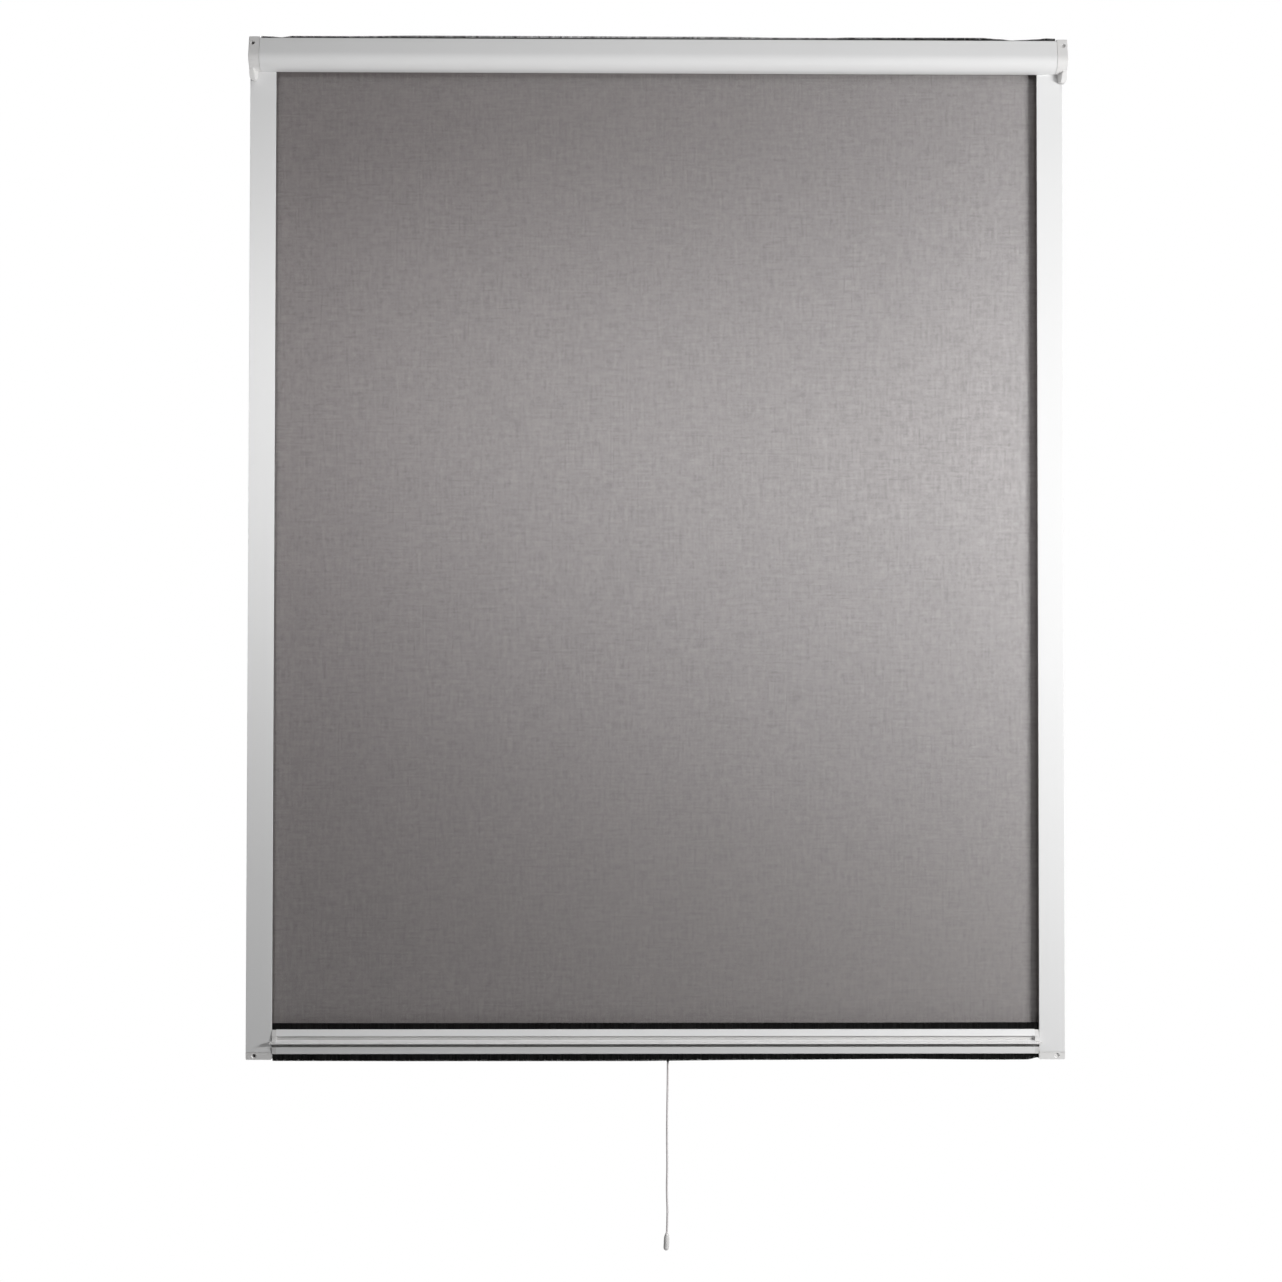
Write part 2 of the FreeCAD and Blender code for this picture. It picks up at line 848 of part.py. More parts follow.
def cord_path(points):
    """Straight runs joined by tangent arcs; prints the smallest radius."""
    edges = []
    cursor = points[0]
    radii = []
    for before, corner, after in zip(points, points[1:], points[2:]):
        incoming = (before - corner).normalize()
        outgoing = (after - corner).normalize()
        turn = math.pi - incoming.getAngle(outgoing)
        reach = 0.45 * min((before - corner).Length, (after - corner).Length)
        radius = reach / math.tan(turn / 2)
        radii.append(radius)
        middle = (incoming + outgoing).normalize()
        rise = radius / math.cos(turn / 2) - radius
        start = corner + incoming * reach
        end = corner + outgoing * reach
        edges.append(Part.makeLine(cursor, start))
        edges.append(Part.Arc(start, corner + middle * rise, end).toShape())
        cursor = end
    edges.append(Part.makeLine(cursor, points[-1]))
    path = Part.Wire(edges)
    print("pull cord: length %.1f, smallest radius %.0f" % (path.Length, min(radii)))
    return path


def pull_cord():
    points = cord_points()
    path = cord_path(points)
    ring = Part.makeCircle(cord_diameter / 2, points[0], points[1] - points[0])
    tube = path.makePipeShell([Part.Wire(ring)], True, False)
    expected = math.pi * (cord_diameter / 2) ** 2 * path.Length
    print("pull cord: volume %.1f, section times length %.1f" % (tube.Volume, expected))
    return tube


def cord_knob():
    """Pull on the cord's end: a widening neck, a straight body and a foot that narrows."""
    points = cord_points()
    foot_start = knob_length - knob_foot_length
    neck = Part.makeCone(knob_neck_radius, knob_radius, knob_shoulder)
    body = Part.makeCylinder(knob_radius, foot_start - knob_shoulder, Vector(0, 0, knob_shoulder))
    foot = Part.makeCone(knob_radius, knob_foot_radius, knob_foot_length, Vector(0, 0, foot_start))
    knob = neck.fuse([body, foot]).removeSplitter()
    turn = FreeCAD.Rotation(Vector(0, 0, 1), points[-1] - points[-2])
    knob.Placement = FreeCAD.Placement(points[-1], turn)
    return knob


parts = {
    "cassette_profile": cassette_profile(),
    "cassette_top_brush": cassette_top_brush(),
    "cassette_mouth_brush": cassette_mouth_brush(),
    "end_cap_left": end_cap_left(),
    "end_cap_right": end_cap_right(),
    "guide_left": guide_left(),
    "guide_right": mirrored(guide_left()),
    "foot_left": foot_left(),
    "foot_right": mirrored(foot_left()),
    "mesh_screen": mesh_screen(),
    "mesh_roll": mesh_roll(),
    "roller_tube": roller_tube(),
    "roller_spline": roller_spline(),
    "tube_plug_left": tube_plug_left(),
    "tube_plug_right": tube_plug_right(),
    "spring_axle": spring_axle(),
    "torsion_spring": torsion_spring(),
    "spring_anchor": spring_anchor(),
    "bottom_bar_profile": bottom_bar_profile(),
    "bar_spline": bar_spline(),
    "bar_brush_upper": bar_brush_upper(),
    "bar_brush_lower": bar_brush_lower(),
    "bar_end_plug_left": bar_end_plug_left(),
    "bar_end_plug_right": mirrored(bar_end_plug_left()),
    "cord_gland": cord_gland(),
    "pull_cord": pull_cord(),
    "cord_knob": cord_knob(),
}
for side, place in enumerate(("back", "front")):
    strip = guide_brush_left(side)
    parts["guide_left_brush_" + place] = strip
    parts["guide_right_brush_" + place] = mirrored(strip)

os.makedirs("parts", exist_ok=True)
for node, shape in parts.items():
    if not shape.isValid() or shape.Volume <= 0:
        raise ValueError("%s is not a valid solid" % node)
    print("%s: %d solid(s), %.0f cubic mm" % (node, len(shape.Solids), shape.Volume))
    shape.exportStep("parts/%s.step" % node)
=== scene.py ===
"""Looks of the roll-up insect screen: finishes, mesh, bristles, cord, light and camera.

Metres. +X is to the right seen from the front, +Z is up, and the front faces -Y.
"""
import json
import math
import random

import bpy
from mathutils import Matrix, Vector

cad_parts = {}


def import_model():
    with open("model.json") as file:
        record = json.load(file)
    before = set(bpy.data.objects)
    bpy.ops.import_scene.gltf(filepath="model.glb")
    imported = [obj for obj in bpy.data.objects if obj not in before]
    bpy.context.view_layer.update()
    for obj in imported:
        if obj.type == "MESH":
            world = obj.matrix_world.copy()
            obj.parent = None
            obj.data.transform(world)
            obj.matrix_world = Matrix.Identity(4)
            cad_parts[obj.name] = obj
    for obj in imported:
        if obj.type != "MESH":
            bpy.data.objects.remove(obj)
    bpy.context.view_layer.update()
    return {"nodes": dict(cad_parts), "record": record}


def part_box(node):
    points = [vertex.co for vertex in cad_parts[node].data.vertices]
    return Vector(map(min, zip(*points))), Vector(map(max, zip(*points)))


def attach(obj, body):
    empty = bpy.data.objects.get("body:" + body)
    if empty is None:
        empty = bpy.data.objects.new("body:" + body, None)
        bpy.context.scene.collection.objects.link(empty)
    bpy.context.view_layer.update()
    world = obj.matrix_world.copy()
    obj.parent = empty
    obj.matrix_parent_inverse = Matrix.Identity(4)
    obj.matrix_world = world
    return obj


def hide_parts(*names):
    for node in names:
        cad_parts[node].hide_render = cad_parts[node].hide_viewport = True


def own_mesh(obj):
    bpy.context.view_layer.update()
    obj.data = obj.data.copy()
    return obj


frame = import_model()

random.seed(11)

MM = 0.001

# Camera, at the photograph's viewing angle
IMAGE_SIZE = 1282
SENSOR_WIDTH = 36.0
FOCAL_PIXELS = 1979.7
CAMERA_PLACE = Vector((-0.0508, -2.9334, -0.9184))
CAMERA_PITCH = math.radians(1.109)
CAMERA_YAW = math.radians(0.551)
CAMERA_ROLL = math.radians(0.064)

# Soft boxes: place, size, power, and whether glossy surfaces mirror them. A long one stands to
# the right, a small one near the left, a wide one in front, one above and one behind.
SOFT_BOXES = {
    "key": (Vector((1.95, -1.38, -0.72)), (0.80, 0.16), 48.0, True),
    "fill": (Vector((-0.82, -0.72, -0.46)), (0.40, 0.40), 2.6, False),
    "front": (Vector((-0.06, -0.62, -0.49)), (0.90, 0.45), 1.7, True),
    "top": (Vector((0.25, -1.20, 1.00)), (1.00, 1.00), 6.4, False),
    "back": (Vector((-0.6, 2.6, 0.4)), (1.6, 1.6), 60.0, False),
}
LIGHT_TARGET = Vector((0.0, 0.0, -0.72))
AMBIENT = 0.015

# Floor below the hanging screen; far out it fades to white for the camera
FLOOR_HEIGHT = -2.7
FLOOR_HALF = 5.0
FLOOR_FADE_START = 0.9
FLOOR_FADE_END = 1.5
FLOOR_GLOW = 0.45
FLOOR_TONES = (0.80, 0.82)
FLOOR_TONE_SCALE = 3.0
FLOOR_ROUGHNESS = 0.7

# Finishes: noise per metre for the skin, the tone and the gloss, and the height of the bumps
COAT_SKIN, COAT_TONE, COAT_GLOSS = 900.0, 4.0, 60.0
PLASTIC_SKIN, PLASTIC_TONE, PLASTIC_GLOSS = 1400.0, 25.0, 180.0
DRAWN_LINES = (40.0, 2400.0, 2400.0)
FIBRES = (900.0, 900.0, 120.0)
WIRE_PITCH = 1.2 * MM
BUMP_HEIGHT = 0.2 * MM

# Painted shade inside the pull bar's recess and slots, which lie within this reach of this y
RECESS_DEPTH = -16.0 * MM
RECESS_REACH = 5.95 * MM
RECESS_SHADE = (0.80, 0.79, 0.78)

# Weave of the mesh: pitch, half a thread's width as a share of the pitch, crimp and bump height
WEAVE_PITCH = 1.05 * MM
THREAD_HALF = 0.41
CRIMP = 0.5
WEAVE_BUMP = 0.15 * MM

# Tone of the mesh: streaks along both threads, mottle and clouds, each with its share
STREAKS_UPRIGHT = (420.0, 1.0, 26.0)
STREAKS_LEVEL = (26.0, 1.0, 420.0)
STREAKS_SHARE = 0.35
MOTTLE = (150.0, 1.0, 110.0)
MOTTLE_SHARE = 0.3
CLOUD_SCALE = 9.0
CLOUD_SHARE = 0.2
SHADE_RANGE = (-2.2, 3.0)
MESH_ROUGHNESS = (0.94, 0.04)
MESH_DARK = (0.094, 0.073, 0.071)
MESH_LIGHT = (0.178, 0.146, 0.144)
MESH_IOR = 2.15

# Sheet of mesh: grid, and waves (across, down, size)
MESH_COLUMNS = 46
MESH_ROWS = 58
MESH_RIPPLE = 0.25 * MM
RIPPLE_WAVES = ((9.0, 2.0, 1.0), (-4.0, 17.0, 0.6))

# Pile strips: bristles, backing and a core that the light can't pass; each edge line holds
# (share of the run, share of the full height)
BRISTLE_RADIUS = 0.30 * MM
TIP_SHARE = 0.6
TIP_LEAN = 0.12 * MM
TIP_SPLAY = 1.2
BACKING_THICK = 0.8 * MM
BACKING_HALF = 2.4 * MM
CORE_HALF = 0.9 * MM
LENGTH_SPREAD = 0.012
PILE_SPREAD = 2.2 * MM
CORE_SHARE = 0.85
CORE_STEPS = 60
EVEN_LINE = [(0.0, 0.98), (1.0, 0.98)]
BAR_TOP_LINE = [(0.0, 0.93), (0.15, 0.92), (0.4, 0.96), (0.75, 0.96), (1.0, 1.0)]
BAR_FOOT_LINE = [
    (0.0, 0.95), (0.2, 0.99), (0.45, 1.0), (0.64, 0.87), (0.82, 0.78), (0.95, 0.86),
    (0.985, 0.84), (1.0, 0.6),
]
BOX_TOP_LINE = [
    (0.0, 0.66), (0.012, 0.62), (0.025, 0.47), (0.04, 0.73), (0.11, 0.73), (0.20, 0.89),
    (0.58, 0.89), (0.65, 0.78), (0.72, 0.77), (0.74, 0.86), (0.79, 0.86), (0.85, 0.90),
    (0.905, 0.90), (0.93, 0.67), (0.945, 0.44), (0.96, 0.54), (0.976, 0.67), (0.99, 0.86),
    (1.0, 0.80),
]
X, Y, Z = 0, 1, 2
PILE_STRIPS = {
    "bar_brush_upper": {
        "run": X, "grow": (Z, 1), "body": "pull_bar", "pitch": 0.5 * MM, "rows": 4,
        "line": BAR_TOP_LINE,
    },
    "bar_brush_lower": {
        "run": X, "grow": (Z, -1), "body": "pull_bar", "pitch": 0.5 * MM, "rows": 4,
        "line": BAR_FOOT_LINE,
    },
    "cassette_top_brush": {
        "run": X, "grow": (Z, 1), "body": "frame", "pitch": 0.7 * MM, "rows": 4,
        "line": BOX_TOP_LINE, "core_share": 0.6,
    },
    "cassette_mouth_brush": {
        "run": X, "grow": (Y, 1), "body": "frame", "pitch": 1.2 * MM, "rows": 2,
    },
}
for side in ("left", "right"):
    for face, sign in (("front", 1), ("back", -1)):
        PILE_STRIPS["guide_%s_brush_%s" % (side, face)] = {
            "run": Z, "grow": (Y, sign), "body": "frame", "pitch": 1.3 * MM, "rows": 2,
        }

# Pull cord: its thickness, its place in front of the mesh and the length inside the gland, its
# braid, and its route as offsets from that place; places and route in millimetres
CORD_DIAMETER = 3.0 * MM
CORD_X = 17.5
CORD_DEPTH = 8.3
GLAND_TAIL = 14.0
STRAND_WIDTH = 0.8 * MM
STRAND_LENGTH = 1.6 * MM
CORD_DARK = (0.86, 0.82, 0.82)
CORD_LIGHT = (0.96, 0.92, 0.92)
CORD_ROUTE = [
    (0.0, 0.0, 0.0),
    (0.0, 0.0, -19.0),
    (-1.3, -0.3, -104.0),
    (-0.5, 0.3, -150.0),
    (-1.5, 0.0, -190.0),
    (0.1, -0.2, -223.0),
    (-1.2, 0.1, -251.3),
]

# Knob on the cord's end: distance from the cord's end and radius, in millimetres
KNOB_PROFILE = [
    (0.0, 2.2),
    (1.5, 2.6),
    (4.0, 3.5),
    (7.0, 3.95),
    (10.0, 4.0),
    (20.5, 4.0),
    (22.2, 3.75),
    (23.6, 3.0),
    (24.6, 1.8),
    (25.0, 0.6),
]
TURNED_SIDES = 40

# Covers in the right-hand fixing holes: profile and places of their backs, in millimetres
COVER_PROFILE = [(0.0, 2.25), (0.45, 2.25), (0.6, 2.1), (0.65, 1.2)]
COVERS = {
    "cover_cap_right": (598.1, -38.4, 14.9),
    "cover_foot_right": (588.0, -21.6, -1469.5),
}


class Nodes:
    """A material's node tree with short calls for adding and linking nodes."""

    def __init__(self, name):
        self.material = bpy.data.materials.new(name)
        self.material.use_nodes = True
        self.tree = self.material.node_tree
        self.tree.nodes.clear()
        self.output = self.add("ShaderNodeOutputMaterial")

    def add(self, kind, **values):
        node = self.tree.nodes.new(kind)
        for key, value in values.items():
            setattr(node, key, value)
        return node

    def link(self, source, target):
        self.tree.links.new(source, target)

    def place(self):
        return self.add("ShaderNodeTexCoord").outputs["Object"]

    def math(self, operation, first, second=0.0, third=0.0):
        node = self.add("ShaderNodeMath", operation=operation)
        for socket, value in zip(node.inputs, (first, second, third)):
            if isinstance(value, (int, float)):
                socket.default_value = value
            else:
                self.link(value, socket)
        return node.outputs[0]

    def noise(self, vector, scale, detail=2.0):
        node = self.add("ShaderNodeTexNoise")
        node.inputs["Scale"].default_value = scale
        node.inputs["Detail"].default_value = detail
        self.link(vector, node.inputs["Vector"])
        return node.outputs["Fac"]

    def stretched(self, vector, scale):
        node = self.add("ShaderNodeVectorMath", operation="MULTIPLY")
        self.link(vector, node.inputs[0])
        node.inputs[1].default_value = scale
        return node.outputs[0]

    def span(self, value, low, high):
        """Maps 0..1 to low..high."""
        return self.math("MULTIPLY_ADD", value, high - low, low)

    def tint(self, factor, dark, light, base=None):
        """Blends two colours; over a base colour, the blend multiplies it."""
        node = self.add("ShaderNodeMix", data_type="RGBA")
        node.inputs["A"].default_value = (*dark, 1.0)
        node.inputs["B"].default_value = (*light, 1.0)
        self.link(factor, node.inputs["Factor"])
        if base is None:
            return node.outputs["Result"]
        over = self.add("ShaderNodeMix", data_type="RGBA", blend_type="MULTIPLY")
        over.inputs["Factor"].default_value = 1.0
        self.link(base, over.inputs["A"])
        self.link(node.outputs["Result"], over.inputs["B"])
        return over.outputs["Result"]

    def bump(self, height, strength, distance):
        node = self.add("ShaderNodeBump")
        node.inputs["Strength"].default_value = strength
        node.inputs["Distance"].default_value = distance
        self.link(height, node.inputs["Height"])
        return node.outputs["Normal"]

    def principled(self, color, roughness, normal=None, **constants):
        shader = self.add("ShaderNodeBsdfPrincipled")
        self.link(color, shader.inputs["Base Color"])
        if isinstance(roughness, float):
            shader.inputs["Roughness"].default_value = roughness
        else:
            self.link(roughness, shader.inputs["Roughness"])
        if normal is not None:
            self.link(normal, shader.inputs["Normal"])
        for key, value in constants.items():
            shader.inputs[key.replace("_", " ")].default_value = value
        return shader.outputs[0]

    def finish(self, surface):
        self.link(surface, self.output.inputs["Surface"])
        return self.material


def grey(value, warmth=0.0):
    return (value * (1 + warmth), value, value * (1 - warmth))


def coated_metal(name, dark, light, rough, shaded_recess=False):
    """White powder coating: fine orange peel with a soft gloss, and painted shade where it is
    sunk.
    """
    n = Nodes(name)
    place = n.place()
    color = n.tint(n.noise(place, COAT_TONE, detail=3.0), dark, light)
    if shaded_recess:
        parts = n.add("ShaderNodeSeparateXYZ")
        n.link(place, parts.inputs[0])
        # Painted shade: inside the pull bar's recess and slots the coat's colour is multiplied by
        # a darker grey
        recess_shade_mask = n.math("COMPARE", parts.outputs["Y"], RECESS_DEPTH, RECESS_REACH)
        color = n.tint(recess_shade_mask, (1.0, 1.0, 1.0), RECESS_SHADE, color)
    roughness = n.span(n.noise(place, COAT_GLOSS), *rough)
    skin = n.noise(place, COAT_SKIN, detail=3.0)
    normal = n.bump(skin, strength=0.10, distance=BUMP_HEIGHT)
    return n.finish(n.principled(color, roughness, normal, Specular_IOR_Level=0.4))


def moulded_plastic(name, dark, light, grain=PLASTIC_SKIN, rough=(0.42, 0.55), strength=0.12):
    """Moulded plastic with a fine spark-eroded grain and faint clouding."""
    n = Nodes(name)
    place = n.place()
    color = n.tint(n.noise(place, PLASTIC_TONE, detail=3.0), dark, light)
    roughness = n.span(n.noise(place, PLASTIC_GLOSS), *rough)
    normal = n.bump(n.noise(place, grain), strength, BUMP_HEIGHT)
    return n.finish(n.principled(color, roughness, normal))


def drawn_metal(name, dark, light):
    """Bare metal with fine lines drawn along x."""
    n = Nodes(name)
    lines = n.noise(n.stretched(n.place(), DRAWN_LINES), 1.0, detail=4.0)
    color = n.tint(lines, dark, light)
    normal = n.bump(lines, strength=0.15, distance=BUMP_HEIGHT)
    roughness = n.span(lines, 0.28, 0.46)
    return n.finish(n.principled(color, roughness, normal, Metallic=1.0))


def wound_steel():
    """Steel wire wound close: round turns along x, with painted shade between the turns."""
    n = Nodes("wound_steel")
    parts = n.add("ShaderNodeSeparateXYZ")
    n.link(n.place(), parts.inputs[0])
    turns = n.math("SINE", n.math("MULTIPLY", parts.outputs["X"], 2 * math.pi / WIRE_PITCH))
    height = n.span(turns, 0.5, 1.0)
    # Painted shade: the colour darkens between the turns, where the bump sinks
    color = n.tint(height, grey(0.30), grey(0.62))
    normal = n.bump(height, strength=0.8, distance=2 * BUMP_HEIGHT)
    return n.finish(n.principled(color, 0.35, normal, Metallic=1.0))


def pile_fibre():
    """Black polypropylene fibre."""
    n = Nodes("black_fibre")
    fibres = n.noise(n.stretched(n.place(), FIBRES), 1.0)
    color = n.tint(fibres, grey(0.001), grey(0.005, 0.04))
    normal = n.bump(fibres, strength=0.4, distance=1.5 * BUMP_HEIGHT)
    return n.finish(n.principled(color, 0.55, normal, Specular_IOR_Level=0.3))


def woven_mesh():
    """Fine plain weave of grey coated thread, with tiny holes between the threads."""
    n = Nodes("woven_mesh")
    place = n.place()
    parts = n.add("ShaderNodeSeparateXYZ")
    n.link(place, parts.inputs[0])
    across = n.math("DIVIDE", parts.outputs["X"], WEAVE_PITCH)
    down = n.math("DIVIDE", parts.outputs["Z"], WEAVE_PITCH)
    from_warp = n.math("ABSOLUTE", n.math("SUBTRACT", n.math("FRACT", across), 0.5))
    from_weft = n.math("ABSOLUTE", n.math("SUBTRACT", n.math("FRACT", down), 0.5))
    on_warp = n.math("LESS_THAN", from_warp, THREAD_HALF)
    on_weft = n.math("LESS_THAN", from_weft, THREAD_HALF)
    thread = n.math("MAXIMUM", on_warp, on_weft)

    def crown(distance):
        ratio = n.math("DIVIDE", distance, THREAD_HALF)
        return n.math("SUBTRACT", 1.0, n.math("MULTIPLY", ratio, ratio))

    def wave(index, along):
        phase = n.math("ADD", n.math("FLOOR", index), along)
        return n.math("COSINE", n.math("MULTIPLY", phase, math.pi))

    warp_height = n.math("MULTIPLY_ADD", wave(across, down), CRIMP, crown(from_warp))
    weft_wave = n.math("MULTIPLY", wave(down, across), -1.0)
    weft_height = n.math("MULTIPLY_ADD", weft_wave, CRIMP, crown(from_weft))
    height = n.math("MAXIMUM", warp_height, weft_height)

    upright = n.noise(n.stretched(place, STREAKS_UPRIGHT), 1.0, detail=3.0)
    level = n.noise(n.stretched(place, STREAKS_LEVEL), 1.0, detail=3.0)
    clouds = n.noise(place, CLOUD_SCALE, detail=3.0)
    mottle = n.noise(n.stretched(place, MOTTLE), 1.0, detail=4.0)
    streaks = n.math("MULTIPLY", n.math("ADD", upright, level), STREAKS_SHARE)
    marks = n.math("MULTIPLY_ADD", mottle, MOTTLE_SHARE, streaks)
    shade = n.math("MULTIPLY_ADD", clouds, CLOUD_SHARE, n.span(marks, *SHADE_RANGE))
    color = n.tint(shade, MESH_DARK, MESH_LIGHT)
    roughness = n.span(marks, *MESH_ROUGHNESS)
    normal = n.bump(height, strength=1.0, distance=WEAVE_BUMP)
    cloth = n.principled(color, roughness, normal, Specular_IOR_Level=1.0, IOR=MESH_IOR)
    hole = n.add("ShaderNodeBsdfTransparent")
    mix = n.add("ShaderNodeMixShader")
    n.link(thread, mix.inputs[0])
    n.link(hole.outputs[0], mix.inputs[1])
    n.link(cloth, mix.inputs[2])
    return n.finish(mix.outputs[0])


def braided_cord():
    """White braided cord: two crossing sets of strands, with painted shade where the strands dip.
    """
    n = Nodes("braided_cord")
    parts = n.add("ShaderNodeSeparateXYZ")
    n.link(n.place(), parts.inputs[0])
    around = n.math("ADD", parts.outputs["X"], parts.outputs["Y"])
    side = n.math("MULTIPLY", around, math.pi / STRAND_WIDTH)
    down = n.math("MULTIPLY", parts.outputs["Z"], math.pi / STRAND_LENGTH)
    rising = n.math("SINE", n.math("ADD", side, down))
    falling = n.math("SINE", n.math("SUBTRACT", side, down))
    braid = n.span(n.math("MULTIPLY", rising, falling), 0.5, 1.0)
    # Painted shade: the colour darkens where the braid's bump sinks between the strands
    color = n.tint(braid, CORD_DARK, CORD_LIGHT)
    normal = n.bump(braid, strength=0.2, distance=BUMP_HEIGHT)
    return n.finish(n.principled(color, 0.8, normal))


MATERIALS = {
    "coated_aluminium": coated_metal("powder_coat", grey(0.79), grey(0.83), (0.50, 0.60)),
    "white_plastic": moulded_plastic("white_plastic", grey(0.75, 0.01), grey(0.80, 0.01)),
    "black_pile": pile_fibre(),
    "mesh_fabric": woven_mesh(),
    "bare_aluminium": drawn_metal("drawn_aluminium", grey(0.50), grey(0.66)),
    "grey_plastic": moulded_plastic("grey_plastic", grey(0.28), grey(0.34)),
    "bright_steel": wound_steel(),
    "black_plastic": moulded_plastic("black_plastic", grey(0.018), grey(0.032)),
    "cord_white": braided_cord(),
    "knob_plastic": moulded_plastic(
        "knob_plastic", grey(0.90, 0.01), grey(0.95, 0.01),
        grain=700.0, rough=(0.20, 0.28), strength=0.02,
    ),
}

# Finish of single nodes where it differs from that of their slot; the pull bar's coat is lighter,
# painted light for the extra light it catches, and has painted shade in its recess
NODE_MATERIALS = {
    # Lighter copy of the powder coat: the lighter tone is painted light for the light the bar
    # catches
    "bottom_bar_profile": coated_metal(
        "bar_coat_painted_light", grey(0.89), grey(0.92), (0.44, 0.52), shaded_recess=True
    ),
}


def dress_cad_nodes():
    """Gives each carried-over node its own finish, or that of its slot."""
    slots = {part["node"]: part["material_slot"] for part in frame["record"]["subparts"]}
    for name, node in frame["nodes"].items():
        node.data.materials.clear()
        node.data.materials.append(NODE_MATERIALS.get(name, MATERIALS[slots[name]]))


def new_mesh(name, points, faces, slot, body, smooth=False):
    mesh = bpy.data.meshes.new(name)
    mesh.from_pydata(points, [], faces)
    mesh.update()
    if smooth:
        mesh.shade_smooth()
    piece = bpy.data.objects.new(name, mesh)
    bpy.context.scene.collection.objects.link(piece)
    mesh.materials.append(MATERIALS[slot])
    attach(piece, body)
    return piece


def box_faces(start):
    a, b, c, d, e, f, g, h = range(start, start + 8)
    return [(a, b, c, d), (h, g, f, e), (a, e, f, b), (b, f, g, c), (c, g, h, d), (d, h, e, a)]


def add_box(points, faces, low, high):
    """Box from corner to corner, as eight points and six faces."""
    start = len(points)
    for z in (low.z, high.z):
        points.append(Vector((low.x, low.y, z)))
        points.append(Vector((low.x, high.y, z)))
        points.append(Vector((high.x, high.y, z)))
        points.append(Vector((high.x, low.y, z)))
    faces.extend(box_faces(start))


def add_bristle(points, faces, root, tip, radius):
    """Closed three-sided bristle from root to a slightly thinner tip."""
    start = len(points)
    axis = (tip - root).normalized()
    side = axis.orthogonal().normalized()
    turn = random.uniform(0, 2 * math.pi)
    for centre, size in ((root, radius), (tip, TIP_SHARE * radius)):
        for corner in range(3):
            spin = Matrix.Rotation(turn + corner * 2 * math.pi / 3, 3, axis)
            points.append(centre + spin @ side * size)
    a, b, c, d, e, f = range(start, start + 6)
    faces.extend([(c, b, a), (d, e, f), (a, b, e, d), (b, c, f, e), (c, a, d, f)])


def edge_height(line, share):
    """Height of an edge line at a share of its run, eased between its points."""
    for (start, low), (end, high) in zip(line, line[1:]):
        if share <= end:
            step = (share - start) / (end - start)
            return low + (high - low) * step * step * (3 - 2 * step)
    return line[-1][1]


def pile_strip(node, run, grow, body, pitch, rows, line=EVEN_LINE, core_share=CORE_SHARE):
    """Pile strip along axis run, its bristles growing along grow, in the space of its node."""
    low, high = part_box(node)
    centre = (low + high) / 2
    side = next(axis for axis in range(3) if axis != run and axis != grow[0])
    rise_axis, sign = grow
    foot = low[rise_axis] if sign > 0 else high[rise_axis]
    tip = high[rise_axis] if sign > 0 else low[rise_axis]
    reach = abs(tip - foot)
    points, faces = [], []

    def corner(along, across, up):
        place = Vector((0.0, 0.0, 0.0))
        place[run] = along
        place[side] = centre[side] + across
        place[rise_axis] = foot + sign * up
        return place

    def ordered_box(along, across, up):
        first = corner(along[0], across[0], up[0])
        second = corner(along[1], across[1], up[1])
        lowest = Vector([min(p) for p in zip(first, second)])
        highest = Vector([max(p) for p in zip(first, second)])
        add_box(points, faces, lowest, highest)

    ordered_box((low[run], high[run]), (-BACKING_HALF, BACKING_HALF), (0.0, BACKING_THICK))
    for step in range(CORE_STEPS):
        shares = (step / CORE_STEPS, (step + 1) / CORE_STEPS)
        ends = tuple(low[run] + share * (high[run] - low[run]) for share in shares)
        core = min(edge_height(line, share) for share in shares) * core_share * reach
        ordered_box(ends, (-CORE_HALF, CORE_HALF), (BACKING_THICK, core))
    count = int((high[run] - low[run]) / pitch)
    for step in range(count):
        share = (step + 0.5) / count
        along = low[run] + share * (high[run] - low[run])
        for row in range(rows):
            across = (row - (rows - 1) / 2) * PILE_SPREAD / rows
            spread = random.uniform(-LENGTH_SPREAD, LENGTH_SPREAD)
            length = reach * min(edge_height(line, share) + spread, 1.0)
            root = corner(along, across, BACKING_THICK / 2)
            lean = random.gauss(0.0, TIP_LEAN)
            end = corner(along + lean, across * TIP_SPLAY, length)
            add_bristle(points, faces, root, end, BRISTLE_RADIUS)
    piece = new_mesh("pile_" + node, points, faces, "black_pile", body)
    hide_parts(node)


def pile_strips():
    for node, strip in PILE_STRIPS.items():
        pile_strip(node, **strip)


def hanging_mesh():
    """The mesh as one sheet, taut, with a slow ripple."""
    low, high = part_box("mesh_screen")
    depth = (low.y + high.y) / 2
    points, faces = [], []
    for row in range(MESH_ROWS + 1):
        v = row / MESH_ROWS
        for column in range(MESH_COLUMNS + 1):
            u = column / MESH_COLUMNS
            edge = math.sin(math.pi * u) * math.sin(math.pi * v)
            ripple = sum(
                size * math.sin(across * u + down * v) for across, down, size in RIPPLE_WAVES
            )
            x = low.x + (high.x - low.x) * u
            z = low.z + (high.z - low.z) * v
            points.append((x, depth + MESH_RIPPLE * edge * ripple, z))
    line = MESH_COLUMNS + 1
    for row in range(MESH_ROWS):
        for column in range(MESH_COLUMNS):
            a = row * line + column
            faces.append((a, a + 1, a + line + 1, a + line))
    piece = new_mesh("mesh_sheet", points, faces, "mesh_fabric", "frame", smooth=True)
    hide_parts("mesh_screen")
    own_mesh(piece)


def cord_points():
    start_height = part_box("bottom_bar_profile")[0].z - GLAND_TAIL * MM
    points = []
    for across, forward, drop in CORD_ROUTE:
        x = (CORD_X + across) * MM
        y = -(CORD_DEPTH + forward) * MM
        points.append(Vector((x, y, start_height + drop * MM)))
    return points


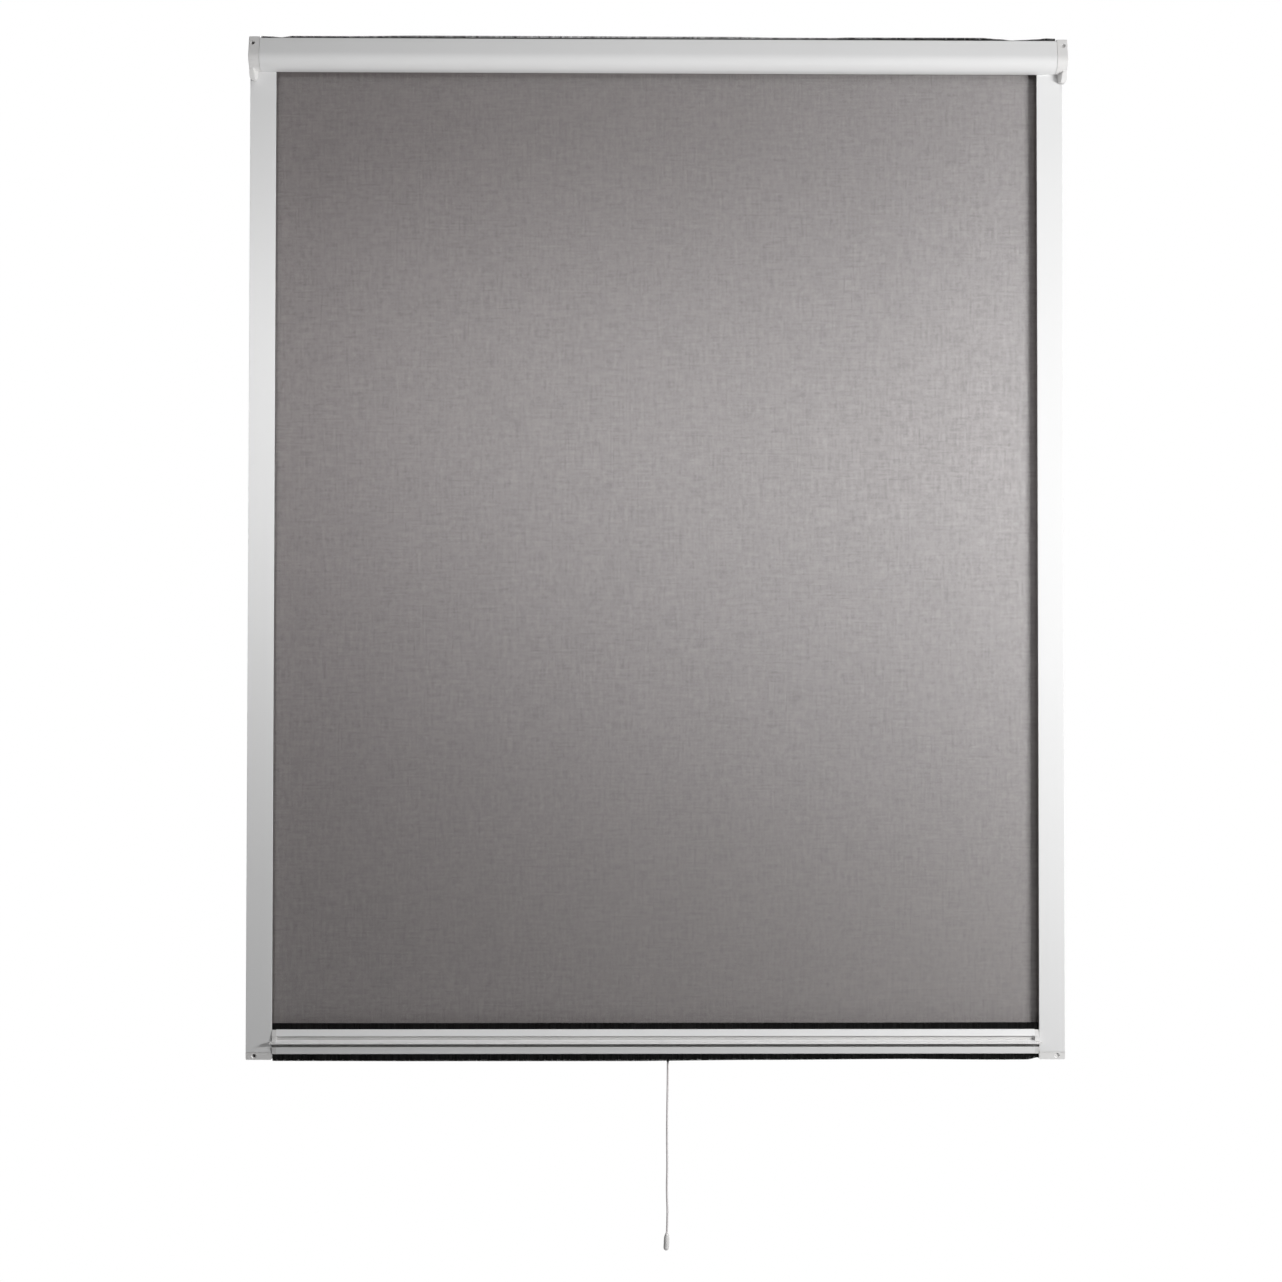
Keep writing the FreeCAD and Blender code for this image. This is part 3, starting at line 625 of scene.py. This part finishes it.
def pull_cord():
    points = cord_points()
    curve = bpy.data.curves.new("pull_cord_line", "CURVE")
    curve.dimensions = "3D"
    spline = curve.splines.new("NURBS")
    spline.points.add(len(points) - 1)
    for knot, place in zip(spline.points, points):
        knot.co = (*place, 1.0)
    spline.order_u = 3
    spline.use_endpoint_u = True
    curve.bevel_depth = CORD_DIAMETER / 2
    curve.bevel_resolution = 5
    curve.resolution_u = 12
    curve.use_fill_caps = True
    piece = bpy.data.objects.new("pull_cord_braid", curve)
    bpy.context.scene.collection.objects.link(piece)
    curve.materials.append(MATERIALS["cord_white"])
    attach(piece, "pull_bar")
    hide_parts("pull_cord")
    knob(points)


def turned(name, start, axis, profile, slot, body):
    """Round closed piece from (distance, radius) pairs along an axis."""
    side = axis.orthogonal().normalized()
    rings = []
    for distance, radius in profile:
        for step in range(TURNED_SIDES):
            spin = Matrix.Rotation(2 * math.pi * step / TURNED_SIDES, 3, axis)
            rings.append(start + axis * distance * MM + spin @ side * radius * MM)
    last = len(rings) - TURNED_SIDES
    faces = [
        tuple(reversed(range(TURNED_SIDES))),
        tuple(last + step for step in range(TURNED_SIDES)),
    ]
    for ring in range(0, last, TURNED_SIDES):
        for step in range(TURNED_SIDES):
            a, b = ring + step, ring + (step + 1) % TURNED_SIDES
            faces.append((a, b, b + TURNED_SIDES, a + TURNED_SIDES))
    return new_mesh(name, rings, faces, slot, body, smooth=True)


def knob(points):
    """Turned knob that carries on the cord's last run."""
    axis = (points[-1] - points[-2]).normalized()
    piece = turned("cord_knob_turned", points[-1], axis, KNOB_PROFILE, "knob_plastic", "pull_bar")
    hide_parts("cord_knob")
    return piece


def screw_covers():
    """Small covers pressed into the two right-hand fixing holes."""
    outward = Vector((0, -1, 0))
    for name, place in COVERS.items():
        turned(name, Vector(place) * MM, outward, COVER_PROFILE, "white_plastic", "frame")


def floor():
    """Pale floor that keeps the shadow near the screen and fades to white further out."""
    corners = [
        (sx * FLOOR_HALF, sy * FLOOR_HALF, FLOOR_HEIGHT)
        for sx, sy in ((-1, -1), (1, -1), (1, 1), (-1, 1))
    ]
    mesh = bpy.data.meshes.new("floor")
    mesh.from_pydata(corners, [], [(0, 1, 2, 3)])
    plane = bpy.data.objects.new("floor", mesh)
    bpy.context.scene.collection.objects.link(plane)
    n = Nodes("pale_floor")
    parts = n.add("ShaderNodeSeparateXYZ")
    place = n.place()
    n.link(place, parts.inputs[0])
    squares = [n.math("POWER", parts.outputs[axis], 2.0) for axis in ("X", "Y")]
    radius = n.math("SQRT", n.math("ADD", *squares))
    fade = n.add("ShaderNodeMapRange", interpolation_type="SMOOTHSTEP")
    n.link(radius, fade.inputs["Value"])
    fade.inputs["From Min"].default_value = FLOOR_FADE_START
    fade.inputs["From Max"].default_value = FLOOR_FADE_END
    dark, light = (grey(tone) for tone in FLOOR_TONES)
    paint = n.principled(n.tint(n.noise(place, FLOOR_TONE_SCALE), dark, light), FLOOR_ROUGHNESS)
    glow = n.add("ShaderNodeEmission")
    glow.inputs["Strength"].default_value = FLOOR_GLOW
    lit = n.add("ShaderNodeAddShader")
    n.link(paint, lit.inputs[0])
    n.link(glow.outputs[0], lit.inputs[1])
    white = n.add("ShaderNodeEmission")
    far = n.add("ShaderNodeMixShader")
    n.link(fade.outputs["Result"], far.inputs[0])
    n.link(lit.outputs[0], far.inputs[1])
    n.link(white.outputs[0], far.inputs[2])
    rays = n.add("ShaderNodeLightPath")
    seen = n.add("ShaderNodeMixShader")
    n.link(rays.outputs["Is Camera Ray"], seen.inputs[0])
    n.link(paint, seen.inputs[1])
    n.link(far.outputs[0], seen.inputs[2])
    mesh.materials.append(n.finish(seen.outputs[0]))


def world():
    """White to the camera, a weak even light for the rest."""
    scene_world = bpy.data.worlds.new("studio")
    bpy.context.scene.world = scene_world
    scene_world.use_nodes = True
    tree = scene_world.node_tree
    tree.nodes.clear()
    output = tree.nodes.new("ShaderNodeOutputWorld")
    rays = tree.nodes.new("ShaderNodeLightPath")
    weak = tree.nodes.new("ShaderNodeBackground")
    weak.inputs["Strength"].default_value = AMBIENT
    white = tree.nodes.new("ShaderNodeBackground")
    for shade in (weak, white):
        shade.inputs["Color"].default_value = (1.0, 1.0, 1.0, 1.0)
    mix = tree.nodes.new("ShaderNodeMixShader")
    tree.links.new(rays.outputs["Is Camera Ray"], mix.inputs[0])
    tree.links.new(weak.outputs[0], mix.inputs[1])
    tree.links.new(white.outputs[0], mix.inputs[2])
    tree.links.new(mix.outputs[0], output.inputs["Surface"])


def soft_box(name, place, size, power, reflected):
    lamp = bpy.data.lights.new(name, "AREA")
    lamp.shape = "RECTANGLE"
    lamp.size, lamp.size_y = size
    lamp.energy = power
    holder = bpy.data.objects.new(name, lamp)
    bpy.context.scene.collection.objects.link(holder)
    holder.location = place
    holder.rotation_euler = (LIGHT_TARGET - place).to_track_quat("-Z", "Y").to_euler()
    holder.visible_camera = False
    holder.visible_glossy = reflected


def camera():
    lens = bpy.data.cameras.new("camera")
    lens.sensor_width = SENSOR_WIDTH
    lens.lens = SENSOR_WIDTH * FOCAL_PIXELS / IMAGE_SIZE
    holder = bpy.data.objects.new("camera", lens)
    bpy.context.scene.collection.objects.link(holder)
    turn = Matrix.Rotation(-CAMERA_YAW, 4, "Z")
    tilt = Matrix.Rotation(math.pi / 2 + CAMERA_PITCH, 4, "X")
    roll = Matrix.Rotation(CAMERA_ROLL, 4, "Z")
    holder.matrix_world = Matrix.Translation(CAMERA_PLACE) @ turn @ tilt @ roll
    bpy.context.scene.camera = holder


dress_cad_nodes()
pile_strips()
hanging_mesh()
pull_cord()
screw_covers()
floor()
world()
for lamp_name, lamp_values in SOFT_BOXES.items():
    soft_box(lamp_name, *lamp_values)
camera()
bpy.context.scene.view_settings.view_transform = "Standard"
